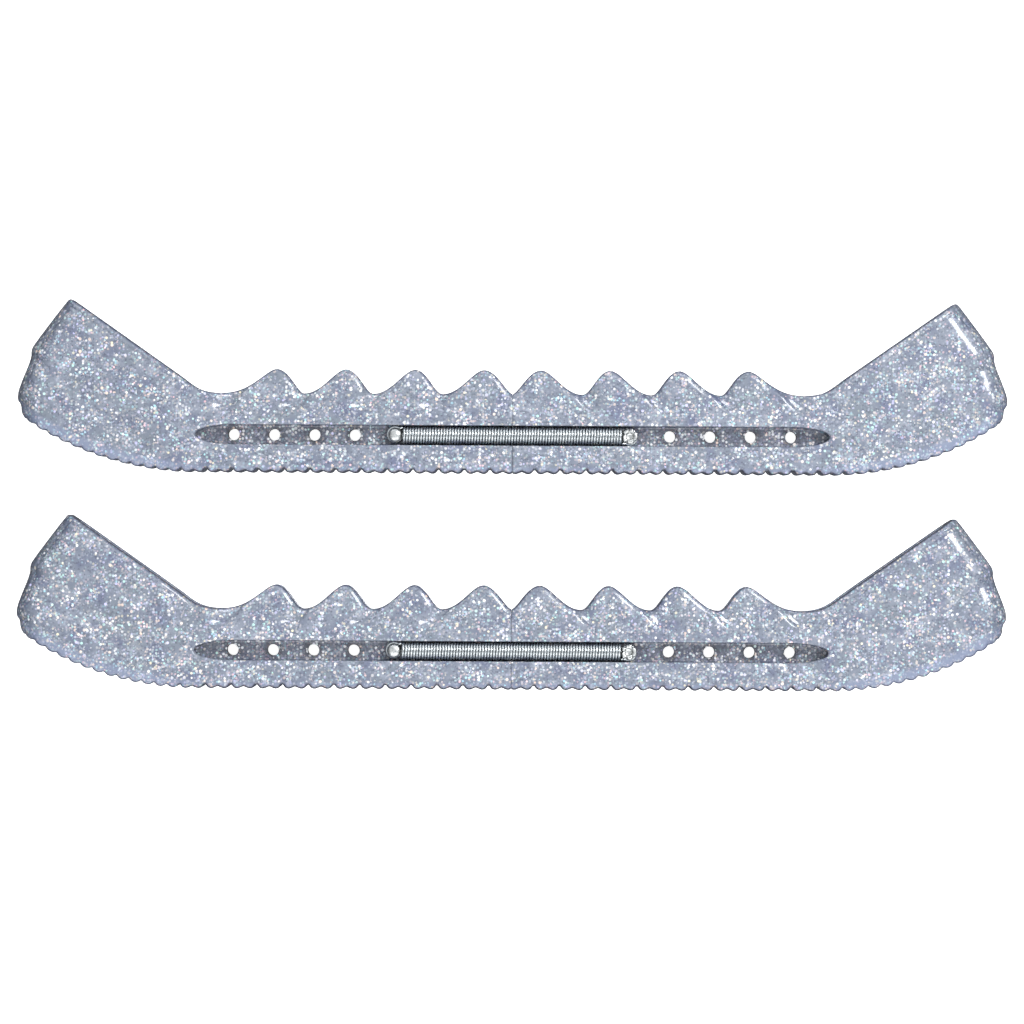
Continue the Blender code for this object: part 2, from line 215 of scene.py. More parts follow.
def bumpNormal(material, height, strength, depth):
    bump = addNode(material, "ShaderNodeBump")
    setInputs(bump, strength=strength, distance=depth * mm)
    join(material, height, bump.inputs["Height"])
    return bump.outputs["Normal"]


# Sizes are in mm. A pair such as (0.46, 0.70) is where an effect starts and where it is full.
glitterLook = dict(
    resin=(0.185, 0.212, 0.275),        # between the flakes
    resinPale=(0.275, 0.302, 0.372),
    resinBlue=(0.138, 0.158, 0.252),
    resinGreen=(0.188, 0.220, 0.266),
    soleBlue=(0.225, 0.265, 0.385),
    channelShadeTint=(0.58, 0.57, 0.62),     # painted shade at the bottom of a channel
    edgeTint=(0.16, 0.15, 0.17),        # painted shade, darker still, round its holes and along the edges of the tread and rim
    flakeMist=(0.44, 0.48, 0.58),       # flakes seen edge on
    # flake colours partly painted glints: the lit flakes are painted near white in the base colour
    flakeSilverGlint=(0.95, 0.96, 0.98), flakeWhiteGlint=(1.0, 1.0, 1.0),
    flakeShadow=(0.070, 0.082, 0.125),
    tints=(
        (1.0, 0.60, 0.64), (0.46, 0.88, 1.0), (1.0, 0.90, 0.62),
        (0.55, 0.92, 0.82), (0.68, 0.66, 1.0), (1.0, 0.76, 0.62),
    ),
    # cloud patterns: size, where the pattern starts, detail
    tone=(6.0, (2.0, 5.0, 1.0), 3.0), patches=(7.0, (4.0, 8.0, 2.0), 2.0),
    crowding=(4.2, (9.0, 3.0, 7.0), 2.0), sink=(3.0, (6.0, 1.0, 4.0), 2.0),
    toneStops=(0.32, 0.5, 0.70), patchFrom=(0.46, 0.70), soleFrom=(0.75, 0.15), channelShadeStop=0.6,
    crowdSwing=1.5, crowdLevel=-0.78, crowdInShade=0.35,       # where flakes gather
    # flake layers: spacing, radius and its spread as shares of the spacing, where the layer starts
    fine=(0.60, 0.58, 0.16, (3.1, 7.7, 1.9)),
    mid=(0.98, 0.42, 0.14, (11.3, 2.9, 5.3)),
    star=(1.50, 0.26, 0.10, (1.7, 13.1, 8.9)),
    flakeEdge=0.09, flakesInShade=-0.15,
    fineLit=(0.42, 1.10), fineTinted=(0.2, 1.1), fineMost=0.9, fineDark=(0.32, 0.0), darkMost=0.65,
    midLit=(0.66, 1.06), midTinted=(0.35, 0.85), midCrowd=0.60, midShare=(0.0, 0.8),
    starLit=(0.72, 0.80), starTinted=(0.60, 0.90), starCrowd=0.35, starShare=(0.1, 0.7),
    roughness=0.42, flakeGloss=-0.10, refraction=1.5, coat=1.0, coatRoughness=0.11,
    sinkDepth=0.22, skinBump=0.3, coatBump=0.09, flakeRise=0.2,
)


def flakeLayer(material, name):
    # one layer of flakes: three random numbers for each, and 1 inside it, 0 outside
    spacing, size, spread, shift = glitterLook[name]
    cells = addNode(material, "ShaderNodeTexVoronoi", voronoi_dimensions="3D", feature="F1")
    setInputs(cells, scale=1.0, randomness=1.0)
    join(material, objectCoords(material, 1.0 / (spacing * mm), shift), cells.inputs["Vector"])
    split = addNode(material, "ShaderNodeSeparateColor")
    join(material, cells.outputs["Color"], split.inputs["Color"])
    own = mathNode(material, "MULTIPLY_ADD", split.outputs[1], -spread, cells.outputs["Distance"])
    inside = rising(material, own, size, size - glitterLook["flakeEdge"])
    return split.outputs, inside


def glitterPlastic():
    look = glitterLook
    material, shader = newMaterial("glitter_plastic")
    share = pointValue(material, "flakeShare")
    paintedShade = pointValue(material, "paintedShadeShare")
    stops = [(i / len(look["tints"]), color) for i, color in enumerate(look["tints"])]
    stops = [stops[0], stops[-1]] + stops[1:-1]     # the ramp's own two stops come first

    def tint(chance, plain, span, pick):
        # some flakes are plain, the others take one of the rainbow tints
        rainbow = ramp(material, pick, stops, "CONSTANT")
        return mixColor(material, rising(material, chance, *span), plain, rainbow)

    def crowded(amount, chance):
        return mathNode(material, "ADD", mathNode(material, "MULTIPLY", crowd, amount), chance)

    # the resin, bluer and clearer along the tread
    low, middle, high = look["toneStops"]
    tones = ((low, look["resinBlue"]), (high, look["resinPale"]), (middle, look["resin"]))
    resin = ramp(material, clouds(material, *look["tone"]), tones)
    patches = rising(material, clouds(material, *look["patches"]), *look["patchFrom"])
    resin = mixColor(material, patches, resin, look["resinGreen"])
    resin = mixColor(material, rising(material, share, *look["soleFrom"]), resin, look["soleBlue"])

    # more flakes in one place, fewer in another
    crowd = clouds(material, *look["crowding"])
    crowd = mathNode(material, "MULTIPLY_ADD", crowd, look["crowdSwing"], look["crowdLevel"])
    # flakes gather more where shade is painted, so some still show there
    crowd = mathNode(material, "MULTIPLY_ADD", paintedShade, look["crowdInShade"], crowd)

    # fine flakes deep in the resin: dim, some of them in shadow
    (red, green, blue), fine = flakeLayer(material, "fine")
    chance = mathNode(material, "ADD", red, crowd)
    dim = product(material, rising(material, chance, *look["fineLit"]), fine, look["fineMost"])
    body = mixColor(material, dim, resin, tint(blue, look["flakeMist"], look["fineTinted"], green))
    dark = product(material, rising(material, red, *look["fineDark"]), fine, share, look["darkMost"])
    body = mixColor(material, dark, body, look["flakeShadow"])

    # painted shade: darker down in a channel, in a halo round its holes and along the edges of the tread and
    # rim, where shade falls
    tints = ((0.0, (1.0, 1.0, 1.0)), (1.0, look["edgeTint"]), (look["channelShadeStop"], look["channelShadeTint"]))
    body = mixColor(material, 1.0, body, ramp(material, paintedShade, tints), "MULTIPLY")
    # fewer flakes show through the painted shade
    seen = mathNode(material, "MULTIPLY_ADD", paintedShade, look["flakesInShade"], 1.0)

    # larger flakes, some of them turned to the light: their own colour with a painted glint, laid bright into
    # the base colour
    (red, green, blue), mid = flakeLayer(material, "mid")
    lit = rising(material, crowded(look["midCrowd"], red), *look["midLit"])
    midLit = product(material, lit, mid, rising(material, share, *look["midShare"]), seen)
    body = mixColor(material, midLit, body, tint(blue, look["flakeSilverGlint"], look["midTinted"], green))

    # the brightest flakes, far apart: painted glints in white and pastel tints over their own colour
    (red, green, blue), star = flakeLayer(material, "star")
    lit = rising(material, crowded(look["starCrowd"], red), *look["starLit"])
    starLit = product(material, lit, star, rising(material, share, *look["starShare"]), seen)
    body = mixColor(material, starLit, body, tint(blue, look["flakeWhiteGlint"], look["starTinted"], green))
    join(material, body, shader.inputs["Base Color"])

    sparkle = mathNode(material, "MAXIMUM", midLit, starLit)
    gloss = mathNode(material, "MULTIPLY_ADD", sparkle, look["flakeGloss"], look["roughness"])
    join(material, gloss, shader.inputs["Roughness"])

    # soft unevenness of the moulded skin, with a trace of the flakes under it
    sink = clouds(material, *look["sink"])
    skin = mathNode(material, "MULTIPLY_ADD", sparkle, look["flakeRise"], sink)
    skin = bumpNormal(material, skin, look["skinBump"], look["sinkDepth"])
    join(material, skin, shader.inputs["Normal"])
    coat = bumpNormal(material, sink, look["coatBump"], look["sinkDepth"])
    join(material, coat, shader.inputs["Coat Normal"])
    shader.inputs["IOR"].default_value = look["refraction"]
    setInputs(shader, coatWeight=look["coat"], coatRoughness=look["coatRoughness"])
    return material


springFinish = dict(
    color=(0.70, 0.73, 0.74), dark=(0.58, 0.62, 0.64), patches=(0.3, 0.62),
    roughness=0.23, roughnessSwing=0.1, grain=0.8, detail=4.0, dents=0.04, dentDepth=0.04,
)
rivetFinish = dict(
    color=(0.74, 0.75, 0.73), dark=(0.42, 0.44, 0.45), patches=(0.3, 0.62),
    roughness=0.27, roughnessSwing=0.1, grain=0.6, detail=4.0, dents=0.10, dentDepth=0.04,
)


def brightMetal(name, look):
    material, shader = newMaterial(name)
    patch = clouds(material, look["grain"], detail=look["detail"])
    dull, bright = look["patches"]
    color = ramp(material, patch, ((dull, look["dark"]), (bright, look["color"])))
    join(material, color, shader.inputs["Base Color"])
    setInputs(shader, metallic=1.0)
    roughness = mathNode(material, "MULTIPLY_ADD", patch, look["roughnessSwing"], look["roughness"])
    join(material, roughness, shader.inputs["Roughness"])
    join(material, bumpNormal(material, patch, look["dents"], look["dentDepth"]), shader.inputs["Normal"])
    return material


# Lengths are in mm. Pairs named Pull are how far a curve's handles reach, before and after a knot.
moulding = dict(
    soleFlat=99.6, soleRadius=95.0, soleDegrees=34.4, jointGap=0.3, jointHairline=0.02,
    # the tread: shallow and deep notches in turn on the flat, all alike further round the curve
    firstNotch=3.0, lobePitch=4.05, notchShallow=0.75, notchDeep=1.6, notchCurve=1.2, notchFade=0.5,
    notchHalf=1.0, notchPower=1.15, lobeShoulder=0.3, lobePower=1.6, lobeSteps=12, evenAfter=14.0,
    # the finger waves along the rim, and the flank that rises to the top corner
    valley=25.0, peak=32.6, wavePitch=21.7, firstPeak=8.95, peakToValley=13.0,
    lastPeakToPlateau=17.25, plateauToFlank=13.7, flankAfterSole=5.4, flankRise=5.7, flankDegrees=35.0,
    peakPull=(3.4, 3.9), valleyPull=(2.7, 5.6), plateauPull=(7.5, 9.5), flankPull=5.0, jointPull=2.4,
    jointSlope=0.4, curveSteps=20,
    topHeight=54.8, cornerCut=1.3, cornerShare=0.28, cornerRounds=2,
    # the tip's outline, measured from the end of the tread
    nose=(
        (1.1, 1.8), (1.3, 4.6), (2.3, 5.6), (2.4, 7.8), (1.5, 10.8), (-1.9, 19.0), (-1.8, 21.6), (-2.9, 23.6),
    ),
    halfWidth=9.0, webHalf=2.8, rimTaper=2.0, taperStart=10.0, taperReach=30.0, soleBand=3.0,
    endRounding=7.0, endFlatShare=0.4,
    # the blade slot: its floor, and how it turns up at the tip
    slotHalf=2.6, slotFloor=16.0, slotBend=(-6.0, 8.0), slotClimb=2.4, slotTurn=(22.0, -6.5),
    slotHeel=(-3.0, -1.5), slotLift=1.0, slotTop=6.0, endWall=4.2, cutterSpare=3.0,
    # the slanting bend across each end
    creaseDepth=0.95, creaseReach=3.0, creaseFoot=4.5, creaseSlope=0.77, creaseFade=10.0,
    channelCentre=12.0, channelHalfHeight=3.1, channelPoint=11.8, channelPower=1.9, channelSteps=24,
    rivetX=36.8, holePitch=12.7, holeRadius=1.8, holeSides=40,
    rimBevel=0.75, bevelDegrees=20.0, rimEdge=1.2, channelEdge=0.5, treadEdge=0.9, treadHeight=4.0,
    jointEdge=0.12,
    # how far a finger scoop falls below its ridge, at each distance from it, and where the ridge runs
    scoopReach=(0.0, 0.75, 1.2, 2.5, 6.2), scoopFall=(0.0, 0.28, 0.80, 1.22, 0.0),
    ridgeStart=(3.9, 31.7), ridgeSlope=1.18, ridgeRise=(-1.2, 1.0), ridgeEnd=(16.0, 19.5),
    ridgeBend=0.66, bendStart=12.5, bendReach=6.0, bendUnit=3.5,
    flankBead=0.42, beadPlace=2.0, beadWidth=0.4, beadStart=(-4.0, 2.0), beadRise=6.0,
    swell=0.05, swellLengths=(5.3, 4.1, 2.9, 3.7), swellPhases=(0.6, 1.2), swellSlant=0.6,
    voxel=0.34, mostFaces=186000, searchStep=0.06, wallNormal=0.6, wallReach=0.42, sharpDegrees=50.0,
    smoothing=0.5, smoothRounds=2,
)


def soleArc():
    return moulding["soleRadius"] * math.radians(moulding["soleDegrees"])


def solePoint(along, lift):
    m = moulding
    if along <= m["soleFlat"]:
        return along, lift
    angle = (along - m["soleFlat"]) / m["soleRadius"]
    radius = m["soleRadius"] - lift
    return m["soleFlat"] + radius * math.sin(angle), m["soleRadius"] - radius * math.cos(angle)


def treadLine():
    m = moulding
    start = m["jointHairline"] / 2
    length = m["soleFlat"] + soleArc() - m["firstNotch"]
    pitch = length / round(length / m["lobePitch"])
    half, shoulder = m["notchHalf"], m["lobeShoulder"]
    points = []
    steps = int((length + m["firstNotch"] - start) / pitch * m["lobeSteps"])
    for i in range(steps):
        along = start + (length + m["firstNotch"] - start) * i / steps
        place = (along - m["firstNotch"]) / pitch
        nearest = round(place)
        off = abs(place - nearest) * pitch
        past = max(0.0, along - m["soleFlat"])
        notch = m["notchDeep"] if nearest % 2 else m["notchShallow"]
        notch += (m["notchCurve"] - notch) * min(1.0, past / m["evenAfter"])
        if nearest < 0:
            notch = shoulder
        if off < half:
            lift = shoulder + (notch - shoulder) * (1.0 - off / half) ** m["notchPower"]
        else:
            lift = shoulder * max(0.0, (pitch / 2 - off) / (pitch / 2 - half)) ** m["lobePower"]
        points.append(solePoint(along, lift * (1.0 - m["notchFade"] * past / soleArc())))
    return points


def noseLine():
    end = solePoint(moulding["soleFlat"] + soleArc(), 0.0)
    return [end] + [(end[0] + dx, end[1] + dy) for dx, dy in moulding["nose"]]


def flankFoot():
    m = moulding
    return m["soleFlat"] + m["flankAfterSole"], m["valley"] + m["flankRise"]


def topCorner():
    m = moulding
    foot = flankFoot()
    return foot[0] + (m["topHeight"] - foot[1]) / math.tan(math.radians(m["flankDegrees"])), m["topHeight"]


def cornerLine():
    # the top corner, cut short and eased
    m = moulding
    corner = Vector(topCorner())
    down = (Vector(noseLine()[-1]) - corner).normalized() * m["cornerCut"]
    back = Vector((-1.0, -math.tan(math.radians(m["flankDegrees"])))).normalized() * m["cornerCut"]
    return [tuple(corner + down), tuple(corner + (down + back) * m["cornerShare"]), tuple(corner + back)]


def peakPlaces():
    m = moulding
    room = flankFoot()[0] - m["lastPeakToPlateau"] - m["plateauToFlank"] - m["firstPeak"]
    count = int(room / m["wavePitch"] + 0.02) + 1        # a full pitch isn't lost to rounding
    return [m["firstPeak"] + m["wavePitch"] * i for i in range(count)]


def rimLine():
    # each knot: place, slope, and its pulls before and after, from the flank towards the joint
    m = moulding
    footX, footY = flankFoot()
    knots = [(footX, footY, math.tan(math.radians(m["flankDegrees"])), 0.0, m["flankPull"])]
    knots.append((footX - m["plateauToFlank"], m["valley"], 0.0, *m["plateauPull"]))
    for peak in reversed(peakPlaces()):
        knots.append((peak, m["peak"], 0.0, *m["peakPull"]))
        valley = peak - (m["wavePitch"] - m["peakToValley"])
        if valley > m["jointGap"]:
            knots.append((valley, m["valley"], 0.0, *m["valleyPull"]))
    knots.append((m["jointHairline"] / 2, m["valley"], m["jointSlope"], m["jointPull"], 0.0))
    points = []
    for (x0, y0, slope0, _, after), (x1, y1, slope1, before, _) in zip(knots, knots[1:]):
        start = Vector((x0, y0))
        end = Vector((x1, y1))
        leave = start - Vector((1.0, slope0)).normalized() * after
        arrive = end + Vector((1.0, slope1)).normalized() * before
        points += [tuple(p)[:2] for p in interpolate_bezier(start, leave, arrive, end, m["curveSteps"])[:-1]]
    return points + [knots[-1][:2]]


def softened(points, rounds):
    # cuts the corners of an open line, keeping its two ends
    for _ in range(rounds):
        cut = [points[0]]
        for a, b in zip(points, points[1:]):
            for share in (0.25, 0.75):
                cut.append((a[0] * (1.0 - share) + b[0] * share, a[1] * (1.0 - share) + b[1] * share))
        points = cut + [points[-1]]
    return points


def mouldingOutline():
    return treadLine() + softened(noseLine() + cornerLine(), moulding["cornerRounds"]) + rimLine()


def slotLine():
    m = moulding
    shoulder = Vector(noseLine()[-1])
    corner = Vector(topCorner())
    down = (shoulder - corner).normalized()
    inwards = Vector((down.y, -down.x)) * m["endWall"]
    foot = shoulder + inwards
    head = corner + inwards - down * m["slotTop"]
    x, y = flankFoot()
    floor = m["slotFloor"]
    bendStart, bendEnd = m["slotBend"]
    turn, heel = m["slotTurn"], m["slotHeel"]
    return [
        (-m["cutterSpare"], floor), (x + bendStart, floor), (x + bendEnd, floor + m["slotClimb"]),
        (x + turn[0], y + turn[1]), (foot.x + heel[0], foot.y + heel[1]), (foot.x, foot.y + m["slotLift"]),
        (head.x, head.y), (-m["cutterSpare"], head.y),
    ]


def insideChannel(x, y, grow):
    m = moulding
    start = m["soleFlat"] - m["channelPoint"]
    along = np.clip((x - start) / m["channelPoint"], 0.0, 1.0)
    half = (m["channelHalfHeight"] + grow) * np.sqrt(np.maximum(1.0 - along ** m["channelPower"], 0.0))
    return (np.abs(y - m["channelCentre"]) < half) & (x < m["soleFlat"])


def channelLine():
    m = moulding
    start = m["soleFlat"] - m["channelPoint"]
    lower = []
    for i in range(m["channelSteps"] + 1):
        along = i / m["channelSteps"]
        half = m["channelHalfHeight"] * math.sqrt(max(0.0, 1.0 - along ** m["channelPower"]))
        lower.append((start + m["channelPoint"] * along, m["channelCentre"] - half))
    upper = [(x, 2 * m["channelCentre"] - y) for x, y in reversed(lower[:-1])]
    return lower + upper + [(-m["cutterSpare"], upper[-1][1]), (-m["cutterSpare"], lower[0][1])]


def plate(name, points, low, high):
    # a flat slab with this outline, between two heights
    curve = bpy.data.curves.new(name, "CURVE")
    curve.dimensions = "2D"
    curve.fill_mode = "BOTH"
    curve.extrude = (high - low) / 2 * mm
    spline = curve.splines.new("POLY")
    spline.points.add(len(points) - 1)
    for spot, (x, y) in zip(spline.points, points):
        spot.co = (x * mm, y * mm, 0.0, 1.0)
    spline.use_cyclic_u = True
    obj = newObject(name, curve)
    obj.location.z = (low + high) / 2 * mm
    mesh = evaluatedMesh(obj, name)
    mesh.transform(obj.matrix_world)
    bpy.data.objects.remove(obj, do_unlink=True)
    bpy.data.curves.remove(curve)
    work = bmesh.new()
    work.from_mesh(mesh)
    bmesh.ops.remove_doubles(work, verts=work.verts, dist=0.001 * mm)
    bmesh.ops.recalc_face_normals(work, faces=work.faces)
    work.to_mesh(mesh)
    work.free()
    return newObject(name, mesh)


def cutAway(obj, cutter):
    cut = obj.modifiers.new(cutter.name, "BOOLEAN")
    cut.operation = "DIFFERENCE"
    cut.solver = "EXACT"
    cut.object = cutter
    mesh = evaluatedMesh(obj, obj.name)
    obj.modifiers.clear()
    old = obj.data
    obj.data = mesh
    bpy.data.meshes.remove(old)
    dropObject(cutter)


def nearestOn(points, spots, closed):
    # distance from each spot to a line, and the nearest place on it, by a fine row of points along it
    line = list(points) + ([points[0]] if closed else [])
    fine = []
    for (ax, ay), (bx, by) in zip(line, line[1:]):
        steps = max(1, int(math.hypot(bx - ax, by - ay) / moulding["searchStep"]))
        fine += [(ax + (bx - ax) * i / steps, ay + (by - ay) * i / steps, 0.0) for i in range(steps)]
    fine.append((*line[-1], 0.0))
    tree = kdtree.KDTree(len(fine))
    for i, spot in enumerate(fine):
        tree.insert(spot, i)
    tree.balance()
    found = [tree.find((x, y, 0.0)) for x, y in spots]
    return np.array([f[2] for f in found]), np.array([f[0][:2] for f in found])


def smoothStep(value, low, high):
    t = np.clip((value - low) / (high - low), 0.0, 1.0)
    return t * t * (3.0 - 2.0 * t)


def edgeDrop(distance, radius):
    # how far a rounded edge falls below the face, at that distance inside it
    inside = np.clip(radius - distance, 0.0, radius)
    return radius - np.sqrt(np.maximum(radius * radius - inside * inside, 0.0))


def rimDrop(distance):
    # the rim has a narrow bevel, then its rounding
    m = moulding
    tilt = math.radians(m["bevelDegrees"])
    rounding = m["rimEdge"] * (1.0 - math.sin(tilt))
    bevel = np.clip(rounding + m["rimBevel"] - distance, 0.0, m["rimBevel"]) * math.tan(tilt)
    lean = np.clip(math.sin(tilt) + (rounding - distance) / m["rimEdge"], math.sin(tilt), 1.0)
    return bevel + m["rimEdge"] * (math.cos(tilt) - np.sqrt(1.0 - lean * lean))


def depthOver(x, y):
    # how far up a place is from the tread, round its curve too
    m = moulding
    return np.where(x <= m["soleFlat"], y, m["soleRadius"] - np.hypot(x - m["soleFlat"], m["soleRadius"] - y))


def scoopDrop(x, y):
    # the finger scoops: each falls away along a ridge that runs down and outwards from a crest
    m = moulding
    drop = np.zeros_like(x)
    run = Vector((1.0, -m["ridgeSlope"])).normalized()
    for peak in peakPlaces():
        dx = x - (peak + m["ridgeStart"][0])
        dy = y - m["ridgeStart"][1]
        along = dx * run.x + dy * run.y
        off = -dx * run.y + dy * run.x
        # the ridge bends level at its foot
        off -= m["ridgeBend"] * (np.clip(along - m["bendStart"], 0.0, m["bendReach"]) / m["bendUnit"]) ** 2
        reach = smoothStep(along, *m["ridgeRise"]) * (1.0 - smoothStep(along, *m["ridgeEnd"]))
        drop += np.interp(off, m["scoopReach"], m["scoopFall"], left=0.0) * reach
    return drop


def halfWidths(x, y, outline, channel):
    # half the moulding's thickness at each place
    m = moulding
    depth = depthOver(x, y)
    high = np.maximum(0.0, depth - m["soleBand"]) / (m["valley"] - m["soleBand"])
    central = np.clip((m["soleFlat"] + m["taperStart"] - x) / m["taperReach"], 0.0, 1.0)
    width = m["halfWidth"] - m["rimTaper"] * high * central
    foot = m["soleFlat"] + m["creaseFoot"]
    off = (y - m["creaseSlope"] * (x - foot)) / math.hypot(1.0, m["creaseSlope"]) / m["creaseReach"]
    width -= m["creaseDepth"] * np.clip((x - foot) / m["creaseFade"], 0.0, 1.0) * np.exp(-off * off)
    width -= scoopDrop(x, y)

    # gentle unevenness, as thick mouldings sink a little
    a, b, c, d = m["swellLengths"]
    first, second = m["swellPhases"]
    swell = np.sin(x / a + first) * np.sin(y / b + second) + m["swellSlant"] * np.sin(x / c - y / d)
    width -= m["swell"] * swell

    # the rounded end, the rim or tread edge, the bead along the flank, the joint and the channel's lip
    spots = np.stack((x, y), 1)
    end, _ = nearestOn([topCorner()] + noseLine()[::-1], spots, False)
    short = np.clip(1.0 - end / m["endRounding"], 0.0, 1.0)
    width *= np.sqrt(1.0 - (1.0 - m["endFlatShare"] ** 2) * short * short)
    rim, _ = nearestOn(outline, spots, False)
    width -= np.where(depth < m["treadHeight"], edgeDrop(rim, m["treadEdge"]), rimDrop(rim))
    footX, low = flankFoot()[0], m["valley"]
    flank = smoothStep(x, footX + m["beadStart"][0], footX + m["beadStart"][1])
    flank = flank * smoothStep(y, low, low + m["beadRise"])
    width -= m["flankBead"] * flank * np.exp(-((rim - m["beadPlace"]) / m["beadWidth"]) ** 2)
    width -= edgeDrop(np.maximum(x - m["jointHairline"] / 2, 0.0), m["jointEdge"])
    lip, _ = nearestOn(channel, spots, True)
    width -= np.where(insideChannel(x, y, 0.0), m["channelEdge"], edgeDrop(lip, m["channelEdge"]))
    return width


def shapeSides(mesh, outline):
    # walls go back exactly onto the outline, and the two faces take the thickness of each place
    m = moulding
    co = meshNumbers(mesh, "co") / mm
    normal = meshNumbers(mesh, "normal")
    away, place = nearestOn(outline, co[:, :2], True)
    wall = (np.abs(normal[:, 2]) < m["wallNormal"]) & (away < m["wallReach"])
    co[wall, :2] = place[wall]
    width = halfWidths(co[:, 0], co[:, 1], outline, channelLine())
    across = np.abs(co[:, 2])
    core = m["slotHalf"]
    part = np.clip((across - core) / (m["halfWidth"] - core), 0.0, 1.0)
    moved = np.where(across > core, core + part * (width - core), across)
    co[:, 2] = np.sign(co[:, 2]) * moved
    mesh.vertices.foreach_set("co", (co * mm).ravel())
    mesh.update()


# What the two point values of the moulding depend on. Pairs are where an effect starts and ends, in mm.
shares = dict(
    tipBand=(-5.0, 15.0),       # the clear band along the tread is wider under the tip
    soleFlakes=0.25, band=(1.0, 3.2), bandAtTip=(1.2, 2.4), rimFlakes=0.35, rimBand=(0.1, 1.1),
    # painted shade: how dark it is painted down in a channel, in a halo round its holes, under the tip, along
    # the tread and round the rim's edge
    channelMargin=0.3, channelShade=0.46, holeThin=0.46, holeReach=1.5,
    treadHeight=3.0, treadBand=(0.3, 1.2), tipThin=0.4, edgeBand=(0.05, 0.6), edgeThin=0.8, rimThin=0.95,
    faceBand=(1.3, 0.3),        # the painted edge shade lies on the faces only, not down the walls
)


def addShares(mesh):
    # flakeShare: how full of flakes the resin looks, less along the tread and over the rounded rim
    # and the second, painted shade: how far down in a channel and how near one of its holes, or the edges of
    # the tread and rim
    m = moulding
    s = shares
    co = meshNumbers(mesh, "co") / mm
    x, y, across = co[:, 0], co[:, 1], np.abs(co[:, 2])
    depth = depthOver(x, y)
    outline = mouldingOutline()
    rim, _ = nearestOn(outline, co[:, :2], False)
    toTip = smoothStep(x, m["soleFlat"] + s["tipBand"][0], m["soleFlat"] + s["tipBand"][1])
    low, high = (flat + more * toTip for flat, more in zip(s["band"], s["bandAtTip"]))
    flakes = s["soleFlakes"] + (1.0 - s["soleFlakes"]) * smoothStep(depth, low, high)
    flakes *= s["rimFlakes"] + (1.0 - s["rimFlakes"]) * smoothStep(rim, *s["rimBand"])

    face = halfWidths(x, y, outline, channelLine())
    down = np.clip((face - across) / (face - m["webHalf"]), 0.0, 1.0)
    down = down * insideChannel(x, y, s["channelMargin"])
    # a halo of painted shade round each hole
    nearHole = np.zeros_like(x)
    for place in holePlaces():
        away = np.hypot(x - place, y - m["channelCentre"]) - m["holeRadius"]
        nearHole = np.maximum(nearHole, np.exp(-(np.maximum(away, 0.0) / s["holeReach"]) ** 2))
    # painted shade along the tread's lower edges and round the rim's edge
    under = (1.0 - smoothStep(rim, *s["treadBand"])) * (depth < s["treadHeight"])
    under = under * (s["tipThin"] + (1.0 - s["tipThin"]) * (1.0 - toTip))
    under = np.maximum(under, s["edgeThin"] * (1.0 - smoothStep(rim, *s["edgeBand"])))
    under *= smoothStep(across, face - s["faceBand"][0], face - s["faceBand"][1])
    # painted shade: the channel recesses, the halos round the holes, and the tread and rim edges
    paintedShade = np.maximum(down * (s["channelShade"] + s["holeThin"] * nearHole), s["rimThin"] * under)
    for name, values in (("flakeShare", flakes), ("paintedShadeShare", paintedShade)):
        layer = mesh.attributes.new(name, "FLOAT", "POINT")
        layer.data.foreach_set("value", values.astype(np.float32))


def holePlaces():
    m = moulding
    places = []
    x = m["rivetX"]
    while x < m["soleFlat"] - m["channelPoint"]:
        places.append(x)
        x += m["holePitch"]
    return places


def holePins(length):
    m = moulding
    pins = bmesh.new()
    for x in holePlaces():
        bmesh.ops.create_cone(
            pins, cap_ends=True, segments=m["holeSides"], radius1=m["holeRadius"] * mm,
            radius2=m["holeRadius"] * mm, depth=length * mm,
            matrix=Matrix.Translation((x * mm, m["channelCentre"] * mm, 0.0)),
        )
    mesh = bpy.data.meshes.new("holes")
    pins.to_mesh(mesh)
    pins.free()
    return newObject("holes", mesh)


def makeMoulding():
    m = moulding
    outline = mouldingOutline()
    body = plate("moulding", outline, -m["halfWidth"], m["halfWidth"])
    outside = m["halfWidth"] + m["cutterSpare"]
    cutAway(body, plate("slot", slotLine(), -m["slotHalf"], m["slotHalf"]))
    cutAway(body, plate("outer_channel", channelLine(), m["webHalf"], outside))
    cutAway(body, plate("inner_channel", channelLine(), -outside, -m["webHalf"]))
    fine = body.modifiers.new("fine", "REMESH")
    fine.mode = "VOXEL"
    fine.voxel_size = m["voxel"] * mm
    obj = newObject("moulding_fine", evaluatedMesh(body, "moulding_fine"))
    dropObject(body)
    soft = obj.modifiers.new("soft", "SMOOTH")
    soft.factor = m["smoothing"]
    soft.iterations = m["smoothRounds"]
    mesh = evaluatedMesh(obj, "moulding_smooth")
    dropObject(obj)
    shapeSides(mesh, outline)
    obj = newObject("moulding_shaped", mesh)
    faces = sum(len(face.vertices) - 2 for face in mesh.polygons)
    if faces > m["mostFaces"]:
        fewer = obj.modifiers.new("fewer", "DECIMATE")
        fewer.ratio = m["mostFaces"] / faces
    cutAway(obj, holePins(2 * outside))
    mesh = obj.data
    bpy.data.objects.remove(obj, do_unlink=True)
    addShares(mesh)
    return mesh


def placeHalf(source, guard, half, material):
    # the heel half is the same moulding turned half a turn about the guard's upright axis
    turn = math.pi if half == "heel" else 0.0
    mesh = source.copy()
    mesh.name = f"{guard}_{half}_moulding"
    mesh.transform(Matrix.Translation(guardBase(guard)) @ Matrix.Rotation(turn, 4, "Y"))
    mesh.materials.clear()
    mesh.materials.append(material)
    mesh.shade_smooth()
    mesh.set_sharp_from_angle(angle=math.radians(moulding["sharpDegrees"]))
    obj = newObject(mesh.name, mesh)
    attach(obj, f"{guard}_{half}")
    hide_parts(f"{guard}_{half}_half")


springWire = dict(
    outside=5.4, wire=0.82, coilEnd=35.0, turns=77.5, stepsPerTurn=20, sides=10,
    offset=5.8,         # from the middle of the guard to the middle of the coil
    loopRadius=2.275, loopStart=248.0, loopSweep=292.0, loopDrop=0.28, loopSteps=40,
    bendPull=(0.8, 1.0), bendSteps=10,
)


